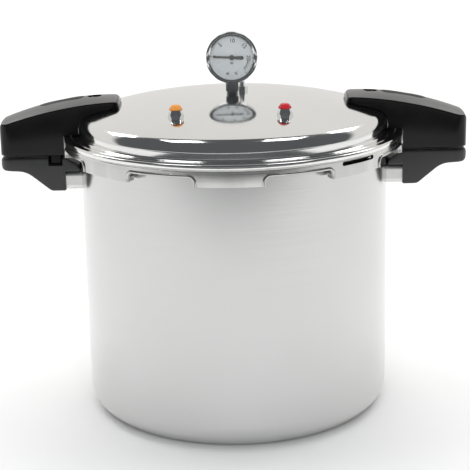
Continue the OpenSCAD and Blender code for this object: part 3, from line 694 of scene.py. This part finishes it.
def lid_space(gap):
    """Everything inside the lid's outer surface, grown by a gap."""
    outline = [(0, skirt_z - 20)] + [(bead_r + gap, skirt_z - 20)]
    outline += rounded([(bead_r + gap, skirt_z - 20, 0), (bead_r + gap, flange_z + 0.3 + gap, 1.5),
        (wall_r + gap, flange_z + 0.3 + gap, foot_r - gap), (wall_r + gap, flange_z + 8, 0)], 8)[1:-1]
    outline += dome_line(-gap, 60)[::-1]
    return turned("lid_space", outline, 360)


def inlay_plate(name, grow, rise, sink):
    """The long oval label plate, which follows the handle's crowned top."""
    straight = inlay_l / 2 - inlay_w / 2
    rings = [(1.0, -sink), (1.0, rise - 0.35), (0.97, rise - 0.1), (0.93, rise)]
    rings += [(0.93 * (1 - i / 8), rise) for i in range(1, 8)]
    per_side = 28
    verts = []
    for share, lift in rings:
        r = (inlay_w / 2 + grow) * share
        ends = arc(inlay_x + straight * share, 0, r, -90, 90, per_side)
        ends += arc(inlay_x - straight * share, 0, r, 90, 270, per_side)
        verts += [(x, y, grip_line(x) - crown_drop(x, y) + lift) for x, y in ends]
    count = 2 * (per_side + 1)
    faces = [list(range(count))[::-1]]
    for i in range(len(rings) - 1):
        for j in range(count):
            k = (j + 1) % count
            faces.append([i * count + j, i * count + k, (i + 1) * count + k, (i + 1) * count + j])
    faces.append([(len(rings) - 1) * count + j for j in range(count)])
    plate = new_piece(name, verts, faces, 50)
    tidy_normals(plate)
    return plate


def block(name, low, high, ease):
    """A box with eased edges."""
    outline = rounded([(low[0], low[1], ease), (high[0], low[1], ease),
        (high[0], high[1], ease), (low[0], high[1], ease)], 5)
    return prism(name, outline, Matrix.Translation((0, 0, low[2])), high[2] - low[2])


def build_lid_handles():
    tip = [grip_tip_x + grip_tip_r * (1 - math.cos(math.radians(i * 9))) for i in range(11)]
    reach = grip_span - grip_tip_r - grip_corner_r
    middle = [grip_tip_x + grip_tip_r + reach * i / 56 for i in range(1, 56)]
    end = [grip_end_x - grip_corner_r + grip_corner_r * math.sin(math.radians(i * 5)) for i in range(19)]
    right = lofted("lid_grip_right", [grip_section(x) for x in tip + middle + end])
    cut(right, lid_space(side_gap))
    cut(right, inlay_plate("recess", inlay_gap, 3, inlay_t))
    seat = grip_line(lid_screw_x) - lid_well_depth
    cut(right, pin("well", lid_screw_x, 0, seat, seat + 20, lid_well_r))
    cut(right, pin("bolt_hole", lid_screw_x, 0, dome_z - 60, seat + 1, bolt_hole_r))
    left = mirrored("lid_grip_left", right)
    tab = block("tab", (-stop_x - stop_l, stop_y, pot_grip_top - stop_drop + stop_gap),
        (-stop_x, stop_y + stop_w, grip_bottom + 1), 1)
    left = joined("lid_grip_left", [left, tab])
    plate = inlay_plate("label_plate_right", 0, inlay_rise, inlay_t)
    finish_piece(mirrored("label_plate_left", plate), "lid", "inlay_grey", "handle_inlay_left")
    finish_piece(plate, "lid", "inlay_grey", "handle_inlay_right")
    finish_piece(left, "lid", "handle_phenolic", "lid_handle_left")
    finish_piece(right, "lid", "handle_phenolic", "lid_handle_right")


build_lid_handles()

# ---- Pot handles ----

pot_grip_w = 42
pot_grip_end_x = pot_grip_high.x
pot_grip_low_z = pot_grip_low.z
pot_grip_end_t = 12.5
pot_screw_x = root_x + 9
pot_well_r = 5.1
pot_well_depth = 4.2
ferrule_top = ferrule_high.z


def pot_grip_profile():
    """The side view: a deep root at the ferrule that sweeps up to a thin outer end."""
    end_low = pot_grip_top - pot_grip_end_t
    return rounded([
        (pot_r + 0.6, ferrule_top + 0.4, 0.5), (root_x, ferrule_top + 0.4, 0),
        (root_x, pot_grip_low_z, 1), (root_x + 15, pot_grip_low_z, 8), (root_x + 40, end_low - 1.5, 24),
        (pot_grip_end_x, end_low, 5), (pot_grip_end_x, pot_grip_top, 3), (root_x - 1, pot_grip_top, 12),
        (pot_r + 0.6, ferrule_top + 6.4, 5)], 14)


def crossing(outline, x, highest):
    """Where the outline crosses an upright line at x, its highest or lowest point."""
    found = []
    for (x0, z0), (x1, z1) in zip(outline, outline[1:] + outline[:1]):
        if min(x0, x1) <= x <= max(x0, x1) and x0 != x1:
            found.append(z0 + (z1 - z0) * (x - x0) / (x1 - x0))
    return max(found) if highest else min(found)


def pot_grip_section(outline, x):
    half = pot_grip_w / 2 - rounding(x - pot_grip_end_x + grip_corner_r, grip_corner_r)
    low, high = crossing(outline, x, False), crossing(outline, x, True)
    ease = min(2.2, (high - low) * 0.4)
    outline = rounded([(-half, low, ease), (half, low, ease), (half, high, ease), (-half, high, ease)], 6)
    return [(x, y, z) for y, z in outline]


def build_pot_handles():
    outline = pot_grip_profile()
    near = [pot_r + 0.62 + (root_x - pot_r - 0.64) * i / 14 for i in range(15)]
    corner_x = pot_grip_end_x - grip_corner_r
    middle = [root_x + 0.02 + (corner_x - root_x - 0.02) * i / 50 for i in range(50)]
    end = [corner_x + (grip_corner_r - 0.01) * math.sin(math.radians(i * 5)) for i in range(19)]
    right = lofted("pot_grip_right", [pot_grip_section(outline, x) for x in near + middle + end])
    cut(right, pin("pot_space", 0, 0, 0, pot_h, pot_r + 0.5, 360))
    cut(right, pin("well", pot_screw_x, 0, pot_grip_low_z - 1, pot_grip_low_z + pot_well_depth, pot_well_r))
    left = mirrored("pot_grip_left", right)
    cut(left, block("stop_recess", (-stop_x - stop_l - stop_gap, -pot_grip_w, pot_grip_top - stop_drop),
        (-stop_x + stop_gap, stop_y + stop_w + stop_gap, pot_grip_top + stop_drop), 1))
    finish_piece(left, "pot", "pot_handle_phenolic", "pot_handle_left")
    finish_piece(right, "pot", "pot_handle_phenolic", "pot_handle_right")


build_pot_handles()

# ---- Gauge ----

gauge_r = (bezel_high.x - bezel_low.x) / 2
gauge_z = (bezel_high.z + bezel_low.z) / 2
front_y = bezel_low.y
back_y = box_mm("gauge_case")[1].y
case_r = gauge_r - 1.2
case_t = 1
case_start = 1.4
neck_y = 1.5
neck_hole_r = 4.45
face_y = box_mm("gauge_dial")[0].y
PSI_TURN = 9
ZERO_TURN = 177
SCALE_R = 22.2
NUMERAL_R = 16.9
NUMERAL_SIZE = 5.8
UNIT_DROP = 6.2
UNIT_SIZE = 2.6


def face_place(y):
    """Local X and Y lie in the dial's plane, seen from the front, and local Z runs to the back."""
    return Matrix(((1, 0, 0, 0), (0, 0, 1, y), (0, 1, 0, gauge_z), (0, 0, 0, 1)))


def build_gauge():
    ring = rounded([(gauge_r - 4, 0.6, 0.2), (gauge_r - 2.2, 0, 0.8), (gauge_r, 0.6, 1.2), (gauge_r, 5, 0.5),
        (case_r + 0.05, 5, 0), (case_r + 0.05, 1.35, 0), (gauge_r - 4, 1.35, 0)], 10)
    bezel = turned("gauge_ring", ring, 180, face_place(front_y))
    finish_piece(bezel, "lid", "gauge_chrome", "gauge_bezel")
    depth = back_y - front_y - case_start
    shell = rounded([(0, depth - case_t, 0), (case_r - case_t, depth - case_t, 2), (case_r - case_t, 0, 0),
        (case_r, 0, 0), (case_r, depth - 1.2, 0.6), (case_r - 1.5, depth - 1.2, 0.6),
        (case_r - 3, depth, 1.5), (0, depth, 0)], 8)
    case = turned("gauge_can", shell, 180, face_place(front_y + case_start))
    bottom = gauge_z - case_r
    cut(case, pin("neck_hole", 0, neck_y, bottom - 5, bottom + 7, neck_hole_r))
    finish_piece(case, "lid", "gauge_chrome", "gauge_case")


def band(r0, r1, start, end):
    """A flat ring sector of the dial's print."""
    steps = max(2, int(abs(end - start) / 3))
    return arc(0, 0, r1, start, end, steps) + arc(0, 0, r0, end, start, steps)


def mark(turn, r0, r1, width):
    """A tick of the dial's scale."""
    a = math.radians(turn)
    along = Vector((math.cos(a), math.sin(a)))
    across = Vector((-math.sin(a), math.cos(a))) * width / 2
    corners = (along * r0 - across, along * r1 - across, along * r1 + across, along * r0 + across)
    return [tuple(p) for p in corners]


def numeral(text, turn, r, size):
    """A number of the scale, standing upright from the centre, as a thin solid."""
    curve = bpy.data.curves.new("numeral", "FONT")
    curve.body = text
    curve.size = size
    curve.align_x = "CENTER"
    curve.align_y = "CENTER"
    curve.extrude = 0.03
    curve.offset = 0.1
    source = bpy.data.objects.new("numeral", curve)
    bpy.context.scene.collection.objects.link(source)
    graph = bpy.context.evaluated_depsgraph_get()
    mesh = bpy.data.meshes.new_from_object(source.evaluated_get(graph))
    bpy.data.objects.remove(source)
    a = math.radians(turn)
    place = face_place(face_y - 0.04) @ Matrix.Translation((r * math.cos(a), r * math.sin(a), 0))
    place = place @ Matrix.Rotation(a - math.pi / 2, 4, "Z")
    mesh.transform(Matrix.Scale(MM, 4) @ place)
    piece = bpy.data.objects.new("numeral", mesh)
    bpy.context.scene.collection.objects.link(piece)
    return piece


def build_dial_print():
    end_turn = ZERO_TURN - 25 * PSI_TURN
    shapes = [band(SCALE_R, SCALE_R + 0.25, ZERO_TURN, end_turn)]
    for psi in range(26):
        turn = ZERO_TURN - psi * PSI_TURN
        long = psi % 5 == 0
        shapes.append(mark(turn, SCALE_R - (2 if long else 1), SCALE_R + 0.2, 0.7 if long else 0.35))
    zone_start, zone_end = ZERO_TURN - 20.7 * PSI_TURN, ZERO_TURN - 24.6 * PSI_TURN
    shapes.append(band(16.4, 17.2, zone_start, zone_end))
    for i in range(9):
        shapes.append(mark(zone_start + (zone_end - zone_start) * i / 8, 17.6, 19.4, 0.4))
    parts = [prism("print", shape, face_place(face_y - 0.06), 0.05) for shape in shapes]
    for psi in range(0, 21, 5):
        parts.append(numeral(str(psi), ZERO_TURN - psi * PSI_TURN, NUMERAL_R, NUMERAL_SIZE))
    parts.append(numeral("PSI", 90, -UNIT_DROP, UNIT_SIZE))
    finish_piece(joined("dial_print", parts), "lid", "pointer_black")


build_gauge()
build_dial_print()

# ---- Camera, lights, floor ----

CAMERA_DISTANCE = 1.475
CAMERA_TILT = math.radians(15.64)
CAMERA_ROLL = math.radians(1.21)
CAMERA_AIM = Vector((-0.0004, 0, 0.1771))
FOCAL = 107.2


def build_camera():
    camera = bpy.data.objects.new("camera", bpy.data.cameras.new("camera"))
    camera.data.lens = FOCAL
    camera.data.sensor_width = 36
    back = Vector((0, -math.cos(CAMERA_TILT), math.sin(CAMERA_TILT)))
    up = Vector((0, math.sin(CAMERA_TILT), math.cos(CAMERA_TILT)))
    right = Vector((1, 0, 0))
    rolled_up = up * math.cos(CAMERA_ROLL) + right * math.sin(CAMERA_ROLL)
    rolled_right = right * math.cos(CAMERA_ROLL) - up * math.sin(CAMERA_ROLL)
    turn = Matrix((rolled_right, rolled_up, back)).transposed().to_4x4()
    camera.matrix_world = Matrix.Translation(CAMERA_AIM + back * CAMERA_DISTANCE) @ turn
    bpy.context.scene.collection.objects.link(camera)
    bpy.context.scene.camera = camera


def softbox(name, place, aim, width, height, power, mirrored_light=True):
    light = bpy.data.lights.new(name, "AREA")
    light.shape = "RECTANGLE"
    light.size = width
    light.size_y = height
    light.energy = power
    lamp = bpy.data.objects.new(name, light)
    lamp.location = place
    lamp.rotation_mode = "QUATERNION"
    lamp.rotation_quaternion = (Vector(place) - Vector(aim)).to_track_quat("Z", "Y")
    lamp.visible_glossy = mirrored_light
    bpy.context.scene.collection.objects.link(lamp)


def skylight(strength, spread):
    """Even, nearly shadowless light from above."""
    light = bpy.data.lights.new("skylight", "SUN")
    light.energy = strength
    light.angle = math.radians(spread)
    lamp = bpy.data.objects.new("skylight", light)
    lamp.visible_glossy = False
    bpy.context.scene.collection.objects.link(lamp)


def build_world():
    """A pale studio: a bright wall behind and beside the object, and a dim ceiling toward the camera."""
    world = bpy.data.worlds.new("studio")
    bpy.context.scene.world = world
    world.use_nodes = True
    tree = world.node_tree
    back = tree.nodes["Background"]
    where = tree.nodes.new("ShaderNodeTexCoord")
    parts = tree.nodes.new("ShaderNodeSeparateXYZ")
    tree.links.new(where.outputs["Generated"], parts.inputs[0])
    lean = tree.nodes.new("ShaderNodeMath")
    lean.operation = "MULTIPLY_ADD"
    tree.links.new(parts.outputs[2], lean.inputs[0])
    lean.inputs[1].default_value = -0.466
    tree.links.new(parts.outputs[1], lean.inputs[2])
    ramp = tree.nodes.new("ShaderNodeMapRange")
    ramp.interpolation_type = "SMOOTHSTEP"
    tree.links.new(lean.outputs[0], ramp.inputs["Value"])
    ramp.inputs["From Min"].default_value = -0.06
    ramp.inputs["From Max"].default_value = 0.10
    mix = tree.nodes.new("ShaderNodeMix")
    mix.data_type = "RGBA"
    tree.links.new(ramp.outputs[0], mix.inputs[0])
    mix.inputs[6].default_value = (0.10, 0.105, 0.11, 1)
    mix.inputs[7].default_value = (0.80, 0.79, 0.765, 1)
    tree.links.new(mix.outputs[2], back.inputs["Color"])
    back.inputs["Strength"].default_value = 1.0


def build_floor():
    size = 14.0
    floor = bpy.data.objects.new("floor", bpy.data.meshes.new("floor"))
    corners = [(-size, -size, 0), (size, -size, 0), (size, size, 0), (-size, size, 0)]
    floor.data.from_pydata(corners, [], [(0, 1, 2, 3)])
    bpy.context.scene.collection.objects.link(floor)
    m = Nodes("floor_paper")
    cloud = m.noise(3, 3)
    m.surface(Base_Color=m.colours(cloud, (0.90, 0.90, 0.90), (0.92, 0.92, 0.92)))
    m.surface(Roughness=m.span(cloud, 0.85, 0.95))
    m.bump(m.noise(400, 2), 0.02, 0.0002)
    floor.data.materials.append(m.material)


def build_card():
    """A grey card on the floor in front of the object, seen only in its mirror-bright faces."""
    card = bpy.data.objects.new("grey_card", bpy.data.meshes.new("grey_card"))
    near, far, half, lift = -1.19, -3.2, 3.0, 0.002
    corners = [(-half, far, lift), (half, far, lift), (half, near, lift), (-half, near, lift)]
    card.data.from_pydata(corners, [], [(0, 1, 2, 3)])
    bpy.context.scene.collection.objects.link(card)
    m = Nodes("card_paper")
    cloud = m.noise(5, 3)
    m.surface(Base_Color=m.colours(cloud, (0.05, 0.052, 0.055), (0.08, 0.083, 0.088)))
    m.surface(Roughness=m.span(cloud, 0.85, 0.95))
    card.data.materials.append(m.material)
    card.visible_camera = False
    card.visible_diffuse = False
    card.visible_shadow = False


build_camera()
build_world()
build_floor()
build_card()
skylight(1.5, 90)
softbox("fill", (0, -3.4, 1.9), (0, 0, 0.25), 2.4, 1.6, 55, False)
for side in (-1, 1):
    softbox("box_near", (0.85 * side, 0.05, 2.6), (0, 0, 0.3), 0.7, 0.7, 6)
    softbox("box_far", (1.6 * side, 1.15, 2.1), (0, 0, 0.3), 0.7, 0.7, 6)
softbox("backdrop", (0, 4.4, 2.8), (0, 4.4, 0), 6, 3, 90, False)
bpy.context.scene.view_settings.view_transform = "Standard"
